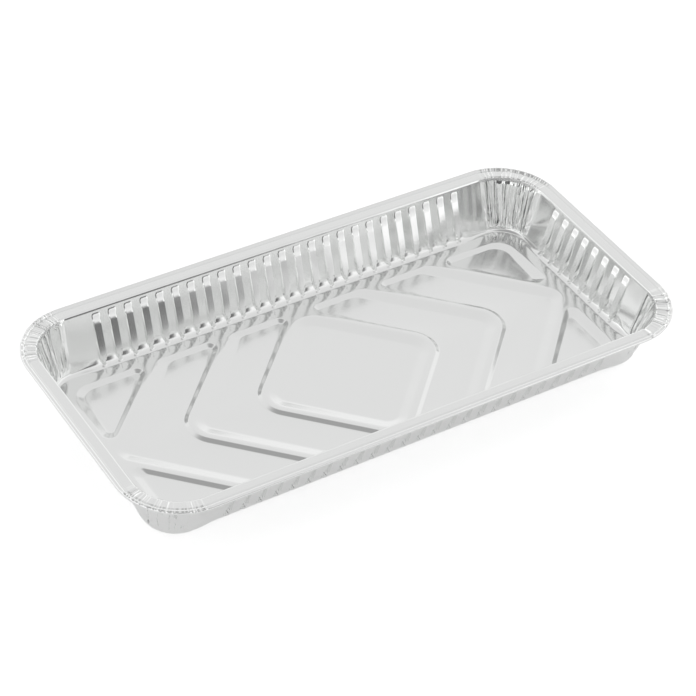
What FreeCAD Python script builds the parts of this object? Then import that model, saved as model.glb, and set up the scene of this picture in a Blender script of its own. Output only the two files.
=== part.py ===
import FreeCAD, Part
import math
import os

# A shallow aluminium foil tray, pressed from one sheet.
# Millimetres, +Z up. The origin is the middle of the footprint, at the height of the
# underside of the floor panels, which the tray rests on. +X runs along the long walls.

# Size over the rolled rim
length = 325.0
width = 165.0
height = 34.0
rim_corner_radius = 34.0
sheet = 0.3

# Rolled rim and the flange inside it
bead_diameter = 2.4
bead_flats = 8
flange_width = 6.1
flange_step = 0.8

# Walls: each leans out by its draft, and the foot radius joins them to the ledge
side_draft = 17.3
end_draft = 12.9
foot_radius = 4.0
foot_bands = 3
foot_corner_radius = 17.0

# Flutes pressed into the walls, standing inwards
flute_pitch = 9.28
side_flutes = 25
end_flutes = 8
flute_root = 5.0
flute_crest = 3.2
flute_depth = 1.3
flute_head_slope = 2.2
flute_foot_slope = 1.6
flute_head_gap = 3.0
flute_foot_gap = 1.2

# Pleats where the sheet gathers at the corners
corner_pleats = 9
pleat_spread = 76.0
pleat_root = 2.4
pleat_crest = 0.5
pleat_depth = 0.8
pleat_end_slope = 2.5
pleat_head_gap = 1.6
pleat_stagger = 3.0
pleat_foot_gap = 3.2

# Floor: panels sunk below a ledge and three chevron ribs in each half
rib_height = 1.5
ledge_width = 9.6
first_rib = 58.8
rib_spacing = 43.2
ribs_per_half = 3
steep_slope = 2.4
rib_top = 2.8
gentle_slope = 6.0
ledge_slope = 2.5
rib_bend_radius = 15.5
obtuse_radius = 6.0
panel_corner_radius = 9.0

# Worked out from the sizes above
flange_top = height - flange_step
wall_inset = bead_diameter + flange_width
top_half_x = length / 2 - wall_inset
top_half_y = width / 2 - wall_inset
top_corner_radius = rim_corner_radius - wall_inset
wall_rise = flange_top - rib_height
side_lean = math.tan(math.radians(side_draft))
end_lean = math.tan(math.radians(end_draft))
foot_half_x = top_half_x - wall_rise * end_lean
foot_half_y = top_half_y - wall_rise * side_lean
panel_half_x = foot_half_x - ledge_width - ledge_slope
panel_half_y = foot_half_y - ledge_width - ledge_slope

# How far booleans reach past the faces they cut
overlap = 1.0

UP = FreeCAD.Vector(0, 0, 1)


def vector(x, y, z=0.0):
    return FreeCAD.Vector(x, y, z)


def rounded_polygon(corners, radii, z):
    """The edges of a closed outline at height z, anticlockwise; a corner with no radius stays sharp."""
    corners = [corner + UP * z for corner in corners]
    edges = []
    ends = []
    for index, radius in enumerate(radii):
        corner = corners[index]
        arriving = (corner - corners[index - 1]).normalize()
        leaving = (corners[(index + 1) % len(corners)] - corner).normalize()
        turn = math.acos(arriving.dot(leaving))
        reach = radius * math.tan(turn / 2)
        bulge = radius / math.cos(turn / 2) - radius
        crown = corner + (leaving - arriving).normalize() * bulge
        ends.append((corner - arriving * reach, crown, corner + leaving * reach))
    for index, radius in enumerate(radii):
        start, crown, end = ends[index]
        edges.append(Part.makeLine(ends[index - 1][2], start))
        if radius:
            edges.append(Part.Arc(start, crown, end).toShape())
    return edges


def polygon(points):
    return [Part.makeLine(points[index - 1], points[index]) for index in range(len(points))]


def sloped_face(low, high):
    """The face between an edge and the matching edge above it."""
    low_start, low_end = [vertex.Point for vertex in low.Vertexes]
    high_start, high_end = [vertex.Point for vertex in high.Vertexes]
    if low.Curve.TypeId == "Part::GeomLine":
        return Part.Face(Part.makePolygon([low_start, low_end, high_end, high_start, low_start]))
    axis = low.Curve.Center - high.Curve.Center
    if math.hypot(axis.x, axis.y) < sheet / 1000:
        sweep = math.degrees(low.LastParameter - low.FirstParameter)
        return Part.makeLine(low_start, high_start).revolve(low.Curve.Center, low.Curve.Axis, sweep)
    return Part.makeRuledSurface(low, high)


def block_through(outlines):
    """The solid inside a stack of outlines, lowest first, that have matching edges."""
    faces = [Part.Face(Part.Wire(outlines[0])), Part.Face(Part.Wire(outlines[-1]))]
    for low, high in zip(outlines, outlines[1:]):
        for below, above in zip(low, high):
            faces.append(sloped_face(below, above))
    shell = Part.makeShell(faces)
    shell.sewShape()
    return Part.makeSolid(shell)


def rectangle_corners(half_x, half_y):
    return [vector(half_x, half_y), vector(-half_x, half_y), vector(-half_x, -half_y), vector(half_x, -half_y)]


def wall_sizes(z):
    """Half length, half width and corner radius of the inner wall face at height z."""
    share = (z - rib_height) / wall_rise
    half_x = foot_half_x + share * (top_half_x - foot_half_x)
    half_y = foot_half_y + share * (top_half_y - foot_half_y)
    radius = foot_corner_radius + share * (top_corner_radius - foot_corner_radius)
    return half_x, half_y, radius


def wall_outline(z, skin):
    half_x, half_y, radius = wall_sizes(z)
    return rounded_polygon(rectangle_corners(half_x + skin, half_y + skin), [radius + skin] * 4, z)


def foot_inset(rise, radius, draft):
    """How far the rounded foot of a wall lies inside the wall's own plane, at a rise above the foot."""
    lean = math.radians(draft)
    if rise >= radius * (1 - math.sin(lean)):
        return 0.0
    setback = radius * math.tan(math.pi / 4 - lean / 2)
    along_arc = math.sqrt(radius * radius - (radius - rise) ** 2)
    return rise * math.tan(lean) + setback - along_arc


def pan_block(bottom, top, skin, radius):
    """A solid with the walls' draft and a rounded foot, as big as the inner face plus skin."""
    outlines = []
    for band in range(foot_bands + 1):
        rise = radius * (1 - math.cos(math.pi / 2 * band / foot_bands))
        half_x, half_y, corner = wall_sizes(bottom + rise)
        inset_x = foot_inset(rise, radius, end_draft)
        inset_y = foot_inset(rise, radius, side_draft)
        corners = rectangle_corners(half_x + skin - inset_x, half_y + skin - inset_y)
        outlines.append(rounded_polygon(corners, [corner + skin - inset_x] * 4, bottom + rise))
    outlines.append(wall_outline(top, skin))
    return block_through(outlines)


def press_ridge(foot, head, outward, root_width, crest_width, depth, head_slope, foot_slope):
    """A ridge with sloped sides and ends that lies on the wall from foot to head.

    outward is the level direction out of the tray. The ridge stands inwards by depth, and
    its sides carry on a little way behind the wall's face."""
    along = (head - foot).normalize()
    across = UP.cross(outward).normalize()
    inward = across.cross(along)
    if inward.dot(outward) > 0:
        inward = inward * -1
    reach = (head - foot).Length
    side_rate = (root_width - crest_width) / 2 / depth

    def section(offset):
        half = root_width / 2 - side_rate * offset
        low = foot + inward * offset + along * (foot_slope / depth * offset)
        high = foot + inward * offset + along * (reach - head_slope / depth * offset)
        points = [low - across * half, low + across * half, high + across * half, high - across * half]
        return polygon(points)

    return block_through([section(-overlap), section(depth)])


def wall_flutes():
    """The flutes of all four walls, with their root on the inner wall face."""
    low = rib_height + flute_foot_gap
    high = flange_top - flute_head_gap
    low_x, low_y, _ = wall_sizes(low)
    high_x, high_y, _ = wall_sizes(high)
    flutes = []
    for index in range(side_flutes):
        x = (index - (side_flutes - 1) / 2) * flute_pitch
        for side in (-1, 1):
            foot = vector(x, side * low_y, low)
            head = vector(x, side * high_y, high)
            flutes.append((foot, head, vector(0, side)))
    for index in range(end_flutes):
        y = (index - (end_flutes - 1) / 2) * flute_pitch
        for end in (-1, 1):
            foot = vector(end * low_x, y, low)
            head = vector(end * high_x, y, high)
            flutes.append((foot, head, vector(end, 0)))
    return flutes


def corner_point(angle, z, sign_x, sign_y):
    half_x, half_y, radius = wall_sizes(z)
    x = half_x - radius + radius * math.cos(angle)
    y = half_y - radius + radius * math.sin(angle)
    return vector(sign_x * x, sign_y * y, z)


def corner_folds():
    """The pleats of the four corners: every second one starts lower and ends higher."""
    pleats = []
    for index in range(corner_pleats):
        turned = (index / (corner_pleats - 1) - 0.5) * pleat_spread + 45.0
        angle = math.radians(turned)
        stagger = pleat_stagger * (index % 2)
        low = rib_height + pleat_foot_gap + stagger
        high = flange_top - pleat_head_gap - stagger
        for sign_x in (-1, 1):
            for sign_y in (-1, 1):
                foot = corner_point(angle, low, sign_x, sign_y)
                head = corner_point(angle, high, sign_x, sign_y)
                outward = vector(sign_x * math.cos(angle), sign_y * math.sin(angle))
                pleats.append((foot, head, outward))
    return pleats


def pressed_folds(skin):
    """Every flute and pleat as a solid, moved outwards by skin."""
    folds = []
    for foot, head, outward in wall_flutes():
        shift = outward * skin
        folds.append(press_ridge(foot + shift, head + shift, outward, flute_root, flute_crest,
                                 flute_depth, flute_head_slope, flute_foot_slope))
    for foot, head, outward in corner_folds():
        shift = outward * skin
        folds.append(press_ridge(foot + shift, head + shift, outward, pleat_root, pleat_crest,
                                 pleat_depth, pleat_end_slope, pleat_end_slope))
    return folds


def rib_lines(number):
    """Where a rib's two slopes begin and end, as the sum of |x| and |y| along its arms."""
    steep_middle = first_rib + rib_spacing * number
    diagonal = math.sqrt(2)
    steep_low = steep_middle + steep_slope / 2 * diagonal
    steep_high = steep_middle - steep_slope / 2 * diagonal
    gentle_high = steep_high - rib_top * diagonal
    gentle_low = gentle_high - gentle_slope * diagonal
    return steep_low, steep_high, gentle_high, gentle_low


def sunk_panel(low_corners, low_radii, high_corners, high_radii, base):
    """A panel's pad, from its flat underside at base up to the level of the ribs."""
    low = rounded_polygon(low_corners, low_radii, base)
    high = rounded_polygon(high_corners, high_radii, base + rib_height)
    return block_through([low, high])


def middle_panel(base):
    """The diamond between the two innermost ribs."""
    _, _, gentle_high, gentle_low = rib_lines(0)
    inner_bend = rib_bend_radius - steep_slope / 2 - rib_top - gentle_slope
    outlines = []
    for reach, grown in ((gentle_low, 0.0), (gentle_high, gentle_slope)):
        corners = [vector(reach, 0), vector(0, reach), vector(-reach, 0), vector(0, -reach)]
        outlines.append((corners, [inner_bend + grown, obtuse_radius + grown] * 2))
    return sunk_panel(*outlines[0], *outlines[1], base)


def chevron_panel(number, base):
    """The bent panel between rib number and the next one out, in the +X half."""
    steep_low, steep_high, _, _ = rib_lines(number)
    _, _, gentle_high, gentle_low = rib_lines(number + 1)
    outer_bend = rib_bend_radius + steep_slope / 2
    inner_bend = rib_bend_radius - steep_slope / 2 - rib_top - gentle_slope
    outlines = []
    for inside, outside, edge, grown in (
            (steep_low, gentle_low, panel_half_y, 0.0),
            (steep_high, gentle_high, panel_half_y + ledge_slope, 1.0)):
        corners = [
            vector(inside, 0),
            vector(inside - edge, -edge),
            vector(outside - edge, -edge),
            vector(outside, 0),
            vector(outside - edge, edge),
            vector(inside - edge, edge),
        ]
        obtuse = obtuse_radius + grown * ledge_slope
        radii = [outer_bend - grown * steep_slope, 0, obtuse, inner_bend + grown * gentle_slope, obtuse, 0]
        outlines.append((corners, radii))
    return sunk_panel(*outlines[0], *outlines[1], base)


def corner_panel(base):
    """The triangle outside the last rib, in the corner at +X +Y."""
    steep_low, steep_high, _, _ = rib_lines(ribs_per_half - 1)
    outlines = []
    for line, edge_x, edge_y, grown in (
            (steep_low, panel_half_x, panel_half_y, 0.0),
            (steep_high, panel_half_x + ledge_slope, panel_half_y + ledge_slope, 1.0)):
        corners = [vector(edge_x, line - edge_x), vector(edge_x, edge_y), vector(line - edge_y, edge_y)]
        outlines.append((corners, [0, panel_corner_radius + grown * ledge_slope, 0]))
    return sunk_panel(*outlines[0], *outlines[1], base)


def floor_panels(base):
    """All the sunk panels as solids whose undersides lie at base."""
    panels = [middle_panel(base)]
    origin = vector(0, 0)
    for number in range(ribs_per_half - 1):
        right = chevron_panel(number, base)
        panels += [right, right.mirror(origin, vector(1, 0))]
    corner = corner_panel(base)
    beside = corner.mirror(origin, vector(1, 0))
    panels += [corner, beside, corner.mirror(origin, vector(0, 1)), beside.mirror(origin, vector(0, 1))]
    return panels


def rim_section():
    """The flange and the rolled bead, as faces in the XZ plane; x is measured in from the edge."""
    radius = bead_diameter / 2
    centre = vector(radius, 0, height - radius)
    curl = []
    for size, order in ((radius, 1), (radius - sheet, -1)):
        for flat in range(bead_flats)[::order]:
            angle = 2 * math.pi * flat / bead_flats
            curl.append(centre + vector(math.cos(angle), 0, math.sin(angle)) * size)
    bead = Part.Face(Part.makePolygon(curl + curl[:1]))
    flange_start = bead_diameter - sheet * 2 / 3
    flange_end = wall_inset + overlap
    low = flange_top - sheet
    flange = Part.Face(Part.makePolygon([
        vector(flange_start, 0, low),
        vector(flange_end, 0, low),
        vector(flange_end, 0, flange_top),
        vector(flange_start, 0, flange_top),
        vector(flange_start, 0, low),
    ]))
    return bead.fuse(flange).removeSplitter()


def rolled_rim():
    """The rim section carried around the tray: straight on each side, turned at each corner."""
    section = rim_section()
    straight_x = length / 2 - rim_corner_radius
    straight_y = width / 2 - rim_corner_radius
    pieces = []
    placed = section.copy()
    placed.rotate(vector(0, 0), UP, 180)
    placed.translate(vector(length / 2, -straight_y))
    quarter = placed.copy()
    pieces.append(placed.extrude(vector(0, 2 * straight_y)))
    quarter.translate(vector(0, 2 * straight_y))
    corner = quarter.revolve(vector(straight_x, straight_y), UP, 90)
    pieces.append(corner)
    along = section.copy()
    along.rotate(vector(0, 0), UP, -90)
    along.translate(vector(-straight_x, width / 2))
    pieces.append(along.extrude(vector(2 * straight_x, 0)))
    pieces.append(corner.mirror(vector(0, 0), vector(1, 0)))
    half = pieces[0].multiFuse(pieces[1:])
    other = half.copy()
    other.rotate(vector(0, 0), UP, 180)
    return half.fuse(other)


def foil_tray():
    """The outside of the pressed sheet less the space inside it."""
    outside = pan_block(rib_height, flange_top, sheet, foot_radius + sheet)
    outside = outside.cut(pressed_folds(sheet))
    outside = outside.multiFuse(floor_panels(0.0))
    inside = pan_block(rib_height + sheet, height + overlap, 0.0, foot_radius)
    inside = inside.cut(pressed_folds(0.0))
    inside = inside.multiFuse(floor_panels(sheet))
    tray = outside.fuse(rolled_rim()).cut(inside)
    return tray.removeSplitter()


tray = foil_tray()
os.makedirs("parts", exist_ok=True)
tray.exportStep("parts/tray.step")
print("solids", len(tray.Solids), "valid", tray.isValid(), "volume", round(tray.Volume))
print("box", tray.BoundBox)
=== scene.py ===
import bpy
import bmesh
import math
from mathutils import Matrix, Vector, noise


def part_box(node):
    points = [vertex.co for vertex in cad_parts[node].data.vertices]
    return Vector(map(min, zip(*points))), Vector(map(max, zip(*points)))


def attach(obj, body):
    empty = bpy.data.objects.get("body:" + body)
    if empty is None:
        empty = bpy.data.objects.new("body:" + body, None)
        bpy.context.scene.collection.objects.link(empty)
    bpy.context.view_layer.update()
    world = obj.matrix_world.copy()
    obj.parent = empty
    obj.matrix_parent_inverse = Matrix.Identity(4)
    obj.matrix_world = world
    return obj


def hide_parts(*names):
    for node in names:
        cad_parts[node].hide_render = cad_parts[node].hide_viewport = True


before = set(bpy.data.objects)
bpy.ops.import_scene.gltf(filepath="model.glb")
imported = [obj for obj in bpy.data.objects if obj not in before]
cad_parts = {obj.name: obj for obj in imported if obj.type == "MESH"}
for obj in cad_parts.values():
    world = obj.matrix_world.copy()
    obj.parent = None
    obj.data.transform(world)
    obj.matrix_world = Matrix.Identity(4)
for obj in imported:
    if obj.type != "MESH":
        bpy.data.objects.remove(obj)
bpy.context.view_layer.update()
mm = 0.001

# Rim and walls. A flat blank of aluminium foil is pressed in one stroke: its edge is rolled into a
# bead, a flat flange runs inside the bead, and the walls drop from the flange with upright flutes.
# It is a grid, with a column for each place around the tray and a row for each step inwards.
lowest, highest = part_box("tray")
half_length = highest.x
half_width = highest.y
tray_height = highest.z
foil = 0.2 * mm
rib_height = 1.5 * mm
rim_corner = 34.0 * mm
bead_radius = 1.2 * mm
flange_drop = 0.8 * mm
wall_inset = 8.5 * mm
lip_radius = 0.9 * mm
side_draft = math.radians(17.3)
end_draft = math.radians(12.9)
foot_radius = 2.6 * mm
foot_corner = 17.0 * mm
flange_level = tray_height - flange_drop
ledge_level = rib_height + foil

flute_pitch = 9.28 * mm
side_flutes = 25
end_flutes = 8
flute_places = [-3.7, -2.9, -2.3, -1.9, -1.2, -0.6, 0.6, 1.2, 1.9, 2.3, 2.9, 3.7, 4.64]
flute_root = 2.3 * mm
flute_crest = 1.9 * mm
flute_top = 28.0 * mm
flute_shoulder = 27.5 * mm
flute_depth = 0.5 * mm
flute_foot_depth = 2.1 * mm
foot_narrowing = 1.2 * mm
scoop_depth = 1.2 * mm
scoop_height = 5.2 * mm
corner_steps = 48
plain_steps = 5


def side_places(flutes):
    """Places along a wall: a fixed distance from its middle, and a share of the way to the corner."""
    reach = flutes / 2 * flute_pitch
    plain = [(reach, step / plain_steps) for step in range(1, plain_steps + 1)]
    fluted = []
    for flute in range(flutes):
        middle = (flute - (flutes - 1) / 2) * flute_pitch
        fluted += [(middle + place * mm, 0.0) for place in flute_places]
    return [(-fixed, share) for fixed, share in reversed(plain)] + [(-reach, 0.0)] + fluted + plain


# Each column has its quarter of the tray, its place along the wall, and its angle in a corner.
columns = []
for quarter in range(4):
    for fixed, share in side_places(side_flutes if quarter % 2 else end_flutes):
        columns.append((quarter, fixed, share, None))
    for step in range(1, corner_steps):
        columns.append((quarter, 0.0, 0.0, math.pi / 2 * step / corner_steps))
columns.append(columns[0])

# Each row has the part of the tray it lies in, how far in it stands and its height.
bead_steps = 9
bead_start = -60
bead_turn = 280
flange_steps = [(2.6, -0.15), (3.0, 0.0), (3.35, -0.2), (3.7, 0.0), (4.0, 0.0)]
lip_steps = 2
wall_rises = [29.4, 28.0, 27.5, 23.0, 18.0, 13.0, 8.5, 6.8, 5.6, 4.6, 3.6, 2.7]
toe_steps = 3
toe_start = 20
ledge_insets = [1.0, 4.6]
rows = []
for step in range(bead_steps + 1):
    turn = math.radians(bead_start - bead_turn * step / bead_steps)
    inset = bead_radius + bead_radius * math.cos(turn)
    rows.append(("rim", inset, tray_height - bead_radius + bead_radius * math.sin(turn)))
for inset, lift in flange_steps:
    rows.append(("rim", inset * mm, flange_level + lift * mm))
lip_start = wall_inset - lip_radius * math.tan(math.pi / 4 - side_draft / 2)
rows.append(("rim", lip_start - 0.3 * mm, flange_level))
rows.append(("rim", lip_start, flange_level))
for step in range(1, lip_steps + 1):
    bend = (math.pi / 2 - side_draft) * step / lip_steps
    inset = lip_start + lip_radius * math.sin(bend)
    rows.append(("rim", inset, flange_level - lip_radius + lip_radius * math.cos(bend)))
for rise in wall_rises:
    rows.append(("wall", 0.0, ledge_level + rise * mm))
for step in range(toe_steps + 1):
    turn = math.radians(toe_start + (90 - toe_start) * step / toe_steps)
    rows.append(("wall", 0.0, ledge_level + foot_radius * (1 - math.sin(turn))))
for inset in ledge_insets:
    rows.append(("floor", inset * mm, ledge_level))


def on_outline(column, half_x, half_y, radius):
    """The point of a rounded rectangle at a column, and the level direction out of it."""
    quarter, fixed, share, angle = column
    half_out, half_run = (half_y, half_x) if quarter % 2 else (half_x, half_y)
    if angle is None:
        along = fixed + share * math.copysign(half_run - radius - abs(fixed), fixed)
        point = Vector((half_out, along, 0))
        outward = Vector((1, 0, 0))
    else:
        outward = Vector((math.cos(angle), math.sin(angle), 0))
        point = Vector((half_out - radius, half_run - radius, 0)) + outward * radius
    turn = Matrix.Rotation(math.pi / 2 * quarter, 3, "Z")
    return turn @ point, turn @ outward


def wall_outline(z):
    """Half length, half width and corner radius of the wall's inner face at height z."""
    drop = flange_level - z
    drop_share = drop / (flange_level - ledge_level)
    half_x = half_length - wall_inset - drop * math.tan(end_draft)
    half_y = half_width - wall_inset - drop * math.tan(side_draft)
    radius = rim_corner - wall_inset + (foot_corner - rim_corner + wall_inset) * drop_share
    return half_x, half_y, radius


def rounded_toe(rise, radius, draft):
    """How far a rounded toe stands in from the plane of its wall, at a rise above the ledge."""
    if rise >= radius * (1 - math.sin(draft)):
        return 0.0
    setback = radius * math.tan(math.pi / 4 - draft / 2)
    return rise * math.tan(draft) + setback - math.sqrt(radius ** 2 - (radius - rise) ** 2)


def ramp(value, start, end):
    """A smooth share from 0 at the start to 1 at the end."""
    share = min(max((value - start) / (end - start), 0.0), 1.0)
    return share * share * (3 - 2 * share)


def flute_offset(quarter, fixed):
    """How far a place along a wall is from the middle of its flute."""
    reach = (side_flutes if quarter % 2 else end_flutes) / 2 * flute_pitch
    return (fixed + reach) % flute_pitch - flute_pitch / 2


def narrowing(rise):
    """How much narrower each side of a flute is near its foot."""
    return foot_narrowing * ramp(rise, 7.0 * mm, 2.4 * mm)


def flute_press(offset, rise):
    """How far the wall is pressed in: a flute with a scoop on each side of its foot."""
    away = abs(offset)
    head = ramp(rise, flute_top, flute_shoulder)
    ridge = min(max((flute_root - narrowing(rise) - away) / (flute_root - flute_crest), 0.0), 1.0)
    depth = flute_foot_depth + (flute_depth - flute_foot_depth) * min(rise / flute_shoulder, 1.0)
    depth += (scoop_depth - flute_foot_depth) * ramp(rise, 3.0 * mm, 0.0)
    centre = (flute_pitch / 2 - away) / (flute_pitch / 2)
    arch = max(scoop_height * math.sqrt(max(1 - centre ** 2, 0.0)), 0.1 * mm)
    scoop = scoop_depth * max(1 - rise / arch, 0.0)
    return max(depth * ridge * head, scoop)


def crease(place, rise, seed):
    """Irregular upright creases where the foil gathers in a corner, most of them from -1 to 1."""
    lean = 0.12 * noise.noise(Vector((place * 120, 0, seed)))
    along = place * 300 + lean * rise * 900
    broad = noise.noise(Vector((along * 0.9, rise * 22, seed + 5)))
    fine = noise.noise(Vector((along * 2.3, rise * 30, seed + 9)))
    return (1 - 2.6 * abs(broad)) * 0.7 + (1 - 3.0 * abs(fine)) * 0.45


crease_depth = 1.3 * mm
flange_pleat = 0.35 * mm
bead_crimp = 0.14 * mm


def pressed_point(column, row):
    """Where a point of the blank ends up."""
    quarter, fixed, share, angle = column
    kind, inset, z = row
    rise = z - ledge_level
    inwards = 0.0
    if kind == "rim":
        half_x = half_length - inset
        half_y = half_width - inset
        radius = rim_corner - inset
    else:
        half_x, half_y, radius = wall_outline(z)
        toe = rounded_toe(rise, foot_radius, side_draft)
        half_x -= rounded_toe(rise, foot_radius, end_draft) + inset
        half_y -= toe + inset
        radius -= toe + inset
    if kind != "rim" and angle is None:
        offset = flute_offset(quarter, fixed) if share == 0.0 else flute_pitch / 2
        lasting = ramp(share, 0.9, 0.0)
        inwards = flute_press(offset, rise / max(lasting, 0.05)) * lasting
    point, outward = on_outline(column, half_x, half_y, radius)
    point.z = z
    seed = 31.0 * quarter
    gather = 0.0 if angle is None else ramp(math.sin(2 * angle), 0.0, 0.35)
    if gather and kind == "wall":
        height_share = ramp(rise, 1.5 * mm, 7.0 * mm) * ramp(rise, 31.0 * mm, 28.0 * mm)
        inwards += crease_depth * gather * height_share * crease(angle * 25 * mm, rise, seed)
    if gather and kind == "rim":
        pleat = noise.noise(Vector((angle * 13, seed, 2)))
        pleat += 0.9 * noise.noise(Vector((angle * 31, seed, 7)))
        if inset > 2 * bead_radius:
            point.z += flange_pleat * gather * pleat * ramp(inset, 2.4 * mm, 3.4 * mm)
        else:
            inwards += bead_crimp * gather * (pleat + 0.8)
    return point - outward * inwards


touching = 0.001 * mm


def pressed_grid(mesh, last_column, last_row, press):
    """A grid with press(vertex, column, row) called for each vertex, and its two side edges joined."""
    grid = bmesh.ops.create_grid(mesh, x_segments=last_column, y_segments=last_row, size=1.0)["verts"]
    for vert in grid:
        press(vert, round((vert.co.x + 1) / 2 * last_column), round((vert.co.y + 1) / 2 * last_row))
    bmesh.ops.remove_doubles(mesh, verts=grid, dist=touching)


# Three values go with the points for the material: crest marks the narrow strip on a flute, gather
# the creased corners, and around is a distance round a corner, with the four corners kept well apart.
strip_foot = 1.5 * mm
strip_top = 27.7 * mm
strip_margin = 0.05 * mm
corner_spacing = 0.5
rim_arc = 50 * mm
wall_arc = 30 * mm
tray_mesh = bmesh.new()
crest_layer = tray_mesh.verts.layers.float.new("crest")
gather_layer = tray_mesh.verts.layers.float.new("gather")
around_layer = tray_mesh.verts.layers.float.new("around")


def press_blank(vert, column, row):
    quarter, fixed, share, angle = columns[column]
    kind, inset, z = rows[row]
    rise = z - ledge_level
    arc_radius = rim_arc if kind == "rim" else wall_arc
    vert.co = pressed_point(columns[column], rows[row])
    if angle is None:
        past_corner = corner_spacing * (quarter - 1) + math.pi / 2 * arc_radius
        vert[around_layer] = corner_spacing * quarter if fixed > 0 else past_corner
        if share == 0.0 and kind == "wall" and strip_foot < rise < strip_top:
            strip_edge = flute_crest - narrowing(rise) + strip_margin
            vert[crest_layer] = 1.0 if abs(flute_offset(quarter, fixed)) < strip_edge else 0.0
    else:
        amount = {"rim": 0.4, "wall": ramp(rise, 1.0 * mm, 8.0 * mm), "floor": 0.0}[kind]
        vert[gather_layer] = amount * ramp(math.sin(2 * angle), 0.0, 0.4)
        vert[around_layer] = corner_spacing * quarter + angle * arc_radius


pressed_grid(tray_mesh, len(columns) - 1, len(rows) - 1, press_blank)
tray_mesh.normal_update()
foot_face = min(tray_mesh.faces, key=lambda face: abs(face.calc_center_median().z - ledge_level))
if foot_face.normal.z < 0:
    bmesh.ops.reverse_faces(tray_mesh, faces=tray_mesh.faces)

# Floor. The middle of the same sheet: nine flat panels are sunk below a level ledge, and what is
# left between them are three raised chevron ribs in each half, with a steep side and a gentle side.
# Each panel is a grid from its flat bottom up its slope, and one fill joins them to the walls.
ledge_width = 9.6 * mm
end_slope = 5.0 * mm
first_rib = 58.8 * mm
rib_spacing = 43.2 * mm
ribs_per_half = 3
steep_slope = 2.4 * mm
rib_top = 2.8 * mm
gentle_slope = 6.0 * mm
ledge_slope = 2.5 * mm
rib_bend = 15.5 * mm
last_bend = 2.0 * mm
acute_corner = 2.0 * mm
obtuse_corner = 6.0 * mm
panel_corner = 9.0 * mm
foot_half_x, foot_half_y = wall_outline(ledge_level)[:2]
panel_half_x = foot_half_x - ledge_width - end_slope
panel_half_y = foot_half_y - ledge_width - ledge_slope
slope_steps = [(-0.2, 0.0), (-0.07, 0.02), (0.07, 0.09), (0.2, 0.2),
               (0.8, 0.8), (0.93, 0.91), (1.07, 0.98), (1.2, 1.0)]
arc_steps = 10


def rounded_outline(corners, radii, z):
    """A closed outline with an arc at each corner."""
    points = []
    for index, corner in enumerate(corners):
        arriving = (corner - corners[index - 1]).normalized()
        leaving = (corners[(index + 1) % len(corners)] - corner).normalized()
        turn = arriving.angle_signed(leaving)
        reach = radii[index] * math.tan(abs(turn) / 2)
        side = Vector((-arriving.y, arriving.x)) * (1 if turn < 0 else -1)
        centre = corner - arriving * reach + side * radii[index]
        for step in range(arc_steps + 1):
            spoke = Matrix.Rotation(-turn * step / arc_steps, 2) @ (-side * radii[index])
            points.append((centre + spoke).to_3d() + Vector((0, 0, z)))
    return points


def rib_lines(number, share):
    """The sums of |x| and |y| along a rib's steep side and its gentle side, at a share of their rise."""
    middle = first_rib + rib_spacing * number
    diagonal = math.sqrt(2)
    steep = middle + steep_slope * (0.5 - share) * diagonal
    gentle = middle - (steep_slope / 2 + rib_top + gentle_slope * (1 - share)) * diagonal
    return steep, gentle


def panel_outline(number, share, z):
    """The panel inside a rib, in the +X half, at a share of its rise; past the last rib, a corner panel."""
    edge_x = panel_half_x + end_slope * share
    edge_y = panel_half_y + ledge_slope * share
    acute = acute_corner + ledge_slope * share
    obtuse = obtuse_corner + ledge_slope * share
    inner_bend = rib_bend - steep_slope / 2 - rib_top - gentle_slope * (1 - share)
    if number == ribs_per_half - 1:
        inner_bend = last_bend + gentle_slope * share
    outer_bend = rib_bend + steep_slope * (0.5 - share)
    if number == 0:
        reach = rib_lines(0, share)[1]
        corners = [(reach, 0), (0, reach), (-reach, 0), (0, -reach)]
        radii = [inner_bend, obtuse_corner + gentle_slope * share] * 2
    elif number < ribs_per_half:
        inside = rib_lines(number - 1, share)[0]
        outside = rib_lines(number, share)[1]
        corners = [(inside, 0), (inside - edge_y, -edge_y), (outside - edge_y, -edge_y), (outside, 0),
                   (outside - edge_y, edge_y), (inside - edge_y, edge_y)]
        radii = [outer_bend, acute, obtuse, inner_bend, obtuse, acute]
    else:
        line = rib_lines(number - 1, share)[0]
        corners = [(edge_x, line - edge_x), (edge_x, edge_y), (line - edge_y, edge_y)]
        radii = [acute, panel_corner + ledge_slope * share, acute]
    return rounded_outline([Vector(corner) for corner in corners], radii, z)


def mirrored(mesh, faces, flip):
    """A mirrored copy of some faces that still faces the same side."""
    copy = bmesh.ops.duplicate(mesh, geom=faces)["geom"]
    copied = [item for item in copy if isinstance(item, bmesh.types.BMFace)]
    verts = [item for item in copy if isinstance(item, bmesh.types.BMVert)]
    bmesh.ops.scale(mesh, vec=flip, verts=verts)
    bmesh.ops.reverse_faces(mesh, faces=copied)
    return copied


panels = bmesh.new()
for number in range(ribs_per_half + 1):
    loops = [panel_outline(number, share, foil + rib_height * rise) for share, rise in slope_steps]

    def press_panel(vert, column, row):
        vert.co = loops[row][column % len(loops[row])]

    earlier = set(panels.faces)
    pressed_grid(panels, len(loops[0]), len(loops) - 1, press_panel)
    bottom = [edge for edge in panels.edges if edge.is_boundary
              and max(vert.co.z for vert in edge.verts) < foil + touching]
    bmesh.ops.contextual_create(panels, geom=bottom)
    panel = [face for face in panels.faces if face not in earlier]
    if number == ribs_per_half:
        panel += mirrored(panels, panel, (1, -1, 1))
    if number > 0:
        mirrored(panels, panel, (-1, 1, 1))
panels_data = bpy.data.meshes.new("floor_panels")
panels.to_mesh(panels_data)
panels.free()
tray_mesh.from_mesh(panels_data)
bpy.data.meshes.remove(panels_data)

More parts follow.
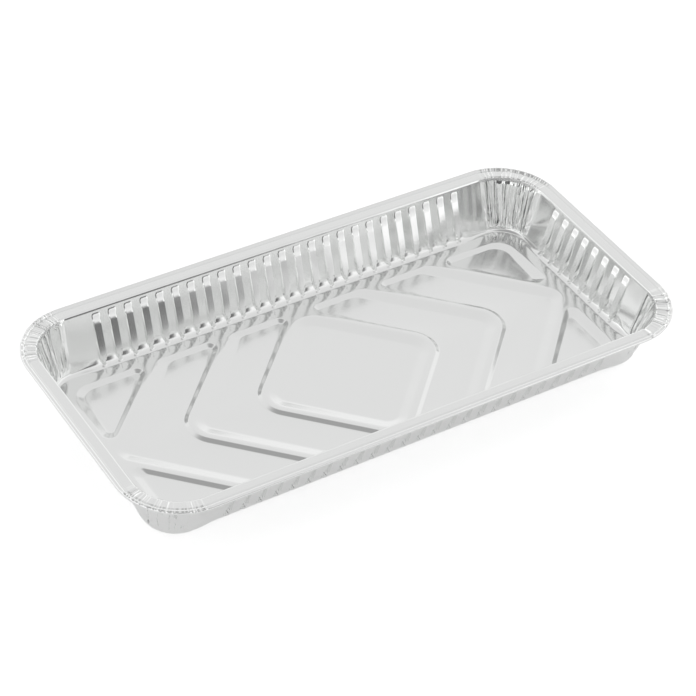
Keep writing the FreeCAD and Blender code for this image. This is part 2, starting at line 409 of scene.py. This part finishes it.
# The fill leaves out very short edges, so it is made on the mesh at a thousand times its size.
rims = [edge for edge in tray_mesh.edges if edge.is_boundary
        and all(abs(vert.co.z - ledge_level) < 10 * touching for vert in edge.verts)]
bmesh.ops.scale(tray_mesh, vec=(1000, 1000, 1000), verts=tray_mesh.verts)
bmesh.ops.triangle_fill(tray_mesh, use_beauty=True, use_dissolve=False, edges=rims, normal=(0, 0, 1))
bmesh.ops.scale(tray_mesh, vec=(mm, mm, mm), verts=tray_mesh.verts)
tray_mesh.normal_update()
facing_down = [face for face in tray_mesh.faces
               if face.calc_center_median().z < ledge_level and face.normal.z < 0]
bmesh.ops.reverse_faces(tray_mesh, faces=facing_down)
for face in tray_mesh.faces:
    face.smooth = True
sharp_angle = math.radians(42)
for edge in tray_mesh.edges:
    if len(edge.link_faces) == 2 and edge.calc_face_angle() > sharp_angle:
        edge.smooth = False
tray_data = bpy.data.meshes.new("foil_tray")
tray_mesh.to_mesh(tray_data)
tray_mesh.free()
tray = bpy.data.objects.new("foil_tray", tray_data)
bpy.context.collection.objects.link(tray)
skin = tray.modifiers.new("foil thickness", "SOLIDIFY")
skin.thickness = foil
skin.offset = -1
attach(tray, "root")
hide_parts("tray")

# Foil. Bright rolled aluminium with a light satin. The strips on the flutes lean back a little, the
# flats have the grain of rolling and slight waves, and the corners are crinkled on their inner side.
foil_look = bpy.data.materials.new("bright foil")
foil_look.use_nodes = True
foil_tree = foil_look.node_tree
links = foil_tree.links
shader = foil_tree.nodes["Principled BSDF"]
shader.inputs["Base Color"].default_value = (0.93, 0.935, 0.93, 1)
shader.inputs["Metallic"].default_value = 1.0
shader.inputs["Roughness"].default_value = 0.13
place = foil_tree.nodes.new("ShaderNodeTexCoord")


def marked(name):
    """A value that goes with the points of the mesh."""
    attribute = foil_tree.nodes.new("ShaderNodeAttribute")
    attribute.attribute_name = name
    return attribute.outputs["Fac"]


def maths(tree, operation, *terms):
    """The result of a sum in a node tree, each of its terms a socket or a number."""
    node = tree.nodes.new("ShaderNodeMath")
    node.operation = operation
    for socket, term in zip(node.inputs, terms):
        if isinstance(term, float):
            socket.default_value = term
        else:
            tree.links.new(term, socket)
    return node.outputs["Value"]


def split_up(tree, vector):
    """The three parts of a vector."""
    node = tree.nodes.new("ShaderNodeSeparateXYZ")
    tree.links.new(vector, node.inputs["Vector"])
    return node.outputs


def pattern(vector, scale, detail, distortion):
    """A noise pattern over a vector."""
    node = foil_tree.nodes.new("ShaderNodeTexNoise")
    node.inputs["Scale"].default_value = scale
    node.inputs["Detail"].default_value = detail
    node.inputs["Distortion"].default_value = distortion
    links.new(vector, node.inputs["Vector"])
    return node.outputs["Fac"]


def bumped(normal, height, distance):
    """The normal after a bump of a height, over a distance."""
    node = foil_tree.nodes.new("ShaderNodeBump")
    node.inputs["Distance"].default_value = distance
    links.new(height, node.inputs["Height"])
    links.new(normal, node.inputs["Normal"])
    return node.outputs["Normal"]


lean = foil_tree.nodes.new("ShaderNodeVectorMath")
lean.operation = "MULTIPLY_ADD"
lean.inputs[1].default_value = (0, 0, 0.125)
links.new(marked("crest"), lean.inputs[0])
links.new(place.outputs["Normal"], lean.inputs[2])
leaning = foil_tree.nodes.new("ShaderNodeVectorTransform")
leaning.vector_type = "NORMAL"
leaning.convert_from = "OBJECT"
leaning.convert_to = "WORLD"
links.new(lean.outputs["Vector"], leaning.inputs["Vector"])

rolling = foil_tree.nodes.new("ShaderNodeMapping")
rolling.inputs["Scale"].default_value = (12, 260, 260)
links.new(place.outputs["Object"], rolling.inputs["Vector"])
grain = pattern(rolling.outputs["Vector"], 1.0, 3.0, 0.0)
waves = pattern(place.outputs["Object"], 38.0, 1.0, 0.0)

unrolled = foil_tree.nodes.new("ShaderNodeCombineXYZ")
height = split_up(foil_tree, place.outputs["Object"])["Z"]
links.new(marked("around"), unrolled.inputs["X"])
links.new(maths(foil_tree, "MULTIPLY", height, 0.07), unrolled.inputs["Y"])
pleats = pattern(unrolled.outputs["Vector"], 190.0, 1.0, 0.3)
folds = maths(foil_tree, "ABSOLUTE", maths(foil_tree, "SUBTRACT", pleats, 0.5))
inner_side = maths(foil_tree, "GREATER_THAN", split_up(foil_tree, place.outputs["Normal"])["Z"], 0.0)
gathered = maths(foil_tree, "MULTIPLY", marked("gather"), inner_side)
crinkles = maths(foil_tree, "MULTIPLY", folds, gathered)

normal = bumped(leaning.outputs["Vector"], grain, 0.012 * mm)
normal = bumped(normal, waves, 0.22 * mm)
normal = bumped(normal, crinkles, 6.5 * mm)
links.new(normal, shader.inputs["Normal"])
tray_data.materials.append(foil_look)

# Stage. A plain white floor in a white studio, brightest near the floor, with a dark patch low on
# the camera's side and a soft dim one overhead.
bpy.ops.mesh.primitive_plane_add(size=12)
ground = bpy.context.object
ground.name = "studio_floor"
white = bpy.data.materials.new("studio white")
white.use_nodes = True
paint = white.node_tree.nodes["Principled BSDF"]
paint.inputs["Base Color"].default_value = (0.9, 0.9, 0.9, 1)
paint.inputs["Roughness"].default_value = 0.9
paint.inputs["Specular IOR Level"].default_value = 0.0
paint.inputs["Emission Color"].default_value = (1, 1, 1, 1)
seen = white.node_tree.nodes.new("ShaderNodeLightPath").outputs
glow = maths(white.node_tree, "MULTIPLY_ADD", seen["Is Glossy Ray"], 0.35, seen["Is Camera Ray"])
glow = maths(white.node_tree, "MULTIPLY", glow, 0.54)
white.node_tree.links.new(glow, paint.inputs["Emission Strength"])
ground.data.materials.append(white)

world = bpy.data.worlds.new("studio")
bpy.context.scene.world = world
world.use_nodes = True
studio = world.node_tree
sky = studio.nodes["Background"]
coords = studio.nodes.new("ShaderNodeTexCoord").outputs["Generated"]


def direction(azimuth, elevation):
    """The direction at an azimuth and an elevation in radians."""
    level = math.cos(elevation)
    return Vector((level * math.cos(azimuth), level * math.sin(azimuth), math.sin(elevation)))


def fading(value, start, end, level_start, level_end):
    """A value that goes smoothly from one level to another."""
    node = studio.nodes.new("ShaderNodeMapRange")
    node.interpolation_type = "SMOOTHSTEP"
    node.inputs["From Min"].default_value = start
    node.inputs["From Max"].default_value = end
    node.inputs["To Min"].default_value = level_start
    node.inputs["To Max"].default_value = level_end
    studio.links.new(value, node.inputs["Value"])
    return node.outputs["Result"]


def soft_patch(azimuth, elevation, outer, inner, level):
    """A level inside a round patch of the studio, which fades to 1 outside it; all angles in degrees."""
    towards = studio.nodes.new("ShaderNodeVectorMath")
    towards.operation = "DOT_PRODUCT"
    towards.inputs[1].default_value = direction(math.radians(azimuth), math.radians(elevation))
    studio.links.new(coords, towards.inputs[0])
    outer_edge = math.cos(math.radians(outer))
    inner_edge = math.cos(math.radians(inner))
    return fading(towards.outputs["Value"], outer_edge, inner_edge, 1.0, level)


def mixed(share, first, second):
    """A mix of two values by a share, each value a socket or a number."""
    node = studio.nodes.new("ShaderNodeMix")
    studio.links.new(share, node.inputs["Factor"])
    for name, value in (("A", first), ("B", second)):
        if isinstance(value, float):
            node.inputs[name].default_value = value
        else:
            studio.links.new(value, node.inputs[name])
    return node.outputs["Result"]


levels = [(0.0, 1.35), (0.14, 1.25), (0.26, 0.93), (0.65, 0.78), (0.9, 0.74)]
by_height = studio.nodes.new("ShaderNodeValToRGB")
by_height.color_ramp.interpolation = "EASE"
for position, level in levels[1:-1]:
    by_height.color_ramp.elements.new(position)
for stop, (position, level) in zip(by_height.color_ramp.elements, levels):
    stop.position = position
    stop.color = (level, level, level, 1)
sky_height = split_up(studio, coords)["Z"]
studio.links.new(sky_height, by_height.inputs["Fac"])
camera_side = soft_patch(-102, -10, 45, 38, 0.1)
low_only = mixed(fading(sky_height, 0.3, 0.45, 1.0, 0.0), 1.0, camera_side)
overhead = soft_patch(-150, 62, 42, 18, 0.5)
light = maths(studio, "MULTIPLY", by_height.outputs["Color"], low_only)
light = maths(studio, "MULTIPLY", light, overhead)
rays = studio.nodes.new("ShaderNodeLightPath")
studio.links.new(mixed(rays.outputs["Is Camera Ray"], light, 1.0), sky.inputs["Strength"])
sky.inputs["Color"].default_value = (1, 1, 1, 1)

# Camera. It looks down on the tray from its near left corner, turned a little.
away = direction(math.radians(-124.448), math.radians(40.699))
distance = 1225.2 * mm
roll = math.radians(4.183)
aim = Vector((9.65, 17.35, 0)) * mm
focal_pixels = 2301.9
frame_pixels = 696
lens = bpy.data.cameras.new("camera")
lens.sensor_width = 36
lens.lens = focal_pixels / frame_pixels * lens.sensor_width
camera = bpy.data.objects.new("camera", lens)
bpy.context.collection.objects.link(camera)
facing = away.to_track_quat("Z", "Y").to_matrix().to_4x4()
camera.matrix_world = Matrix.Translation(aim + away * distance) @ facing @ Matrix.Rotation(roll, 4, "Z")
bpy.context.scene.camera = camera

view = bpy.context.scene.view_settings
view.view_transform = "Standard"
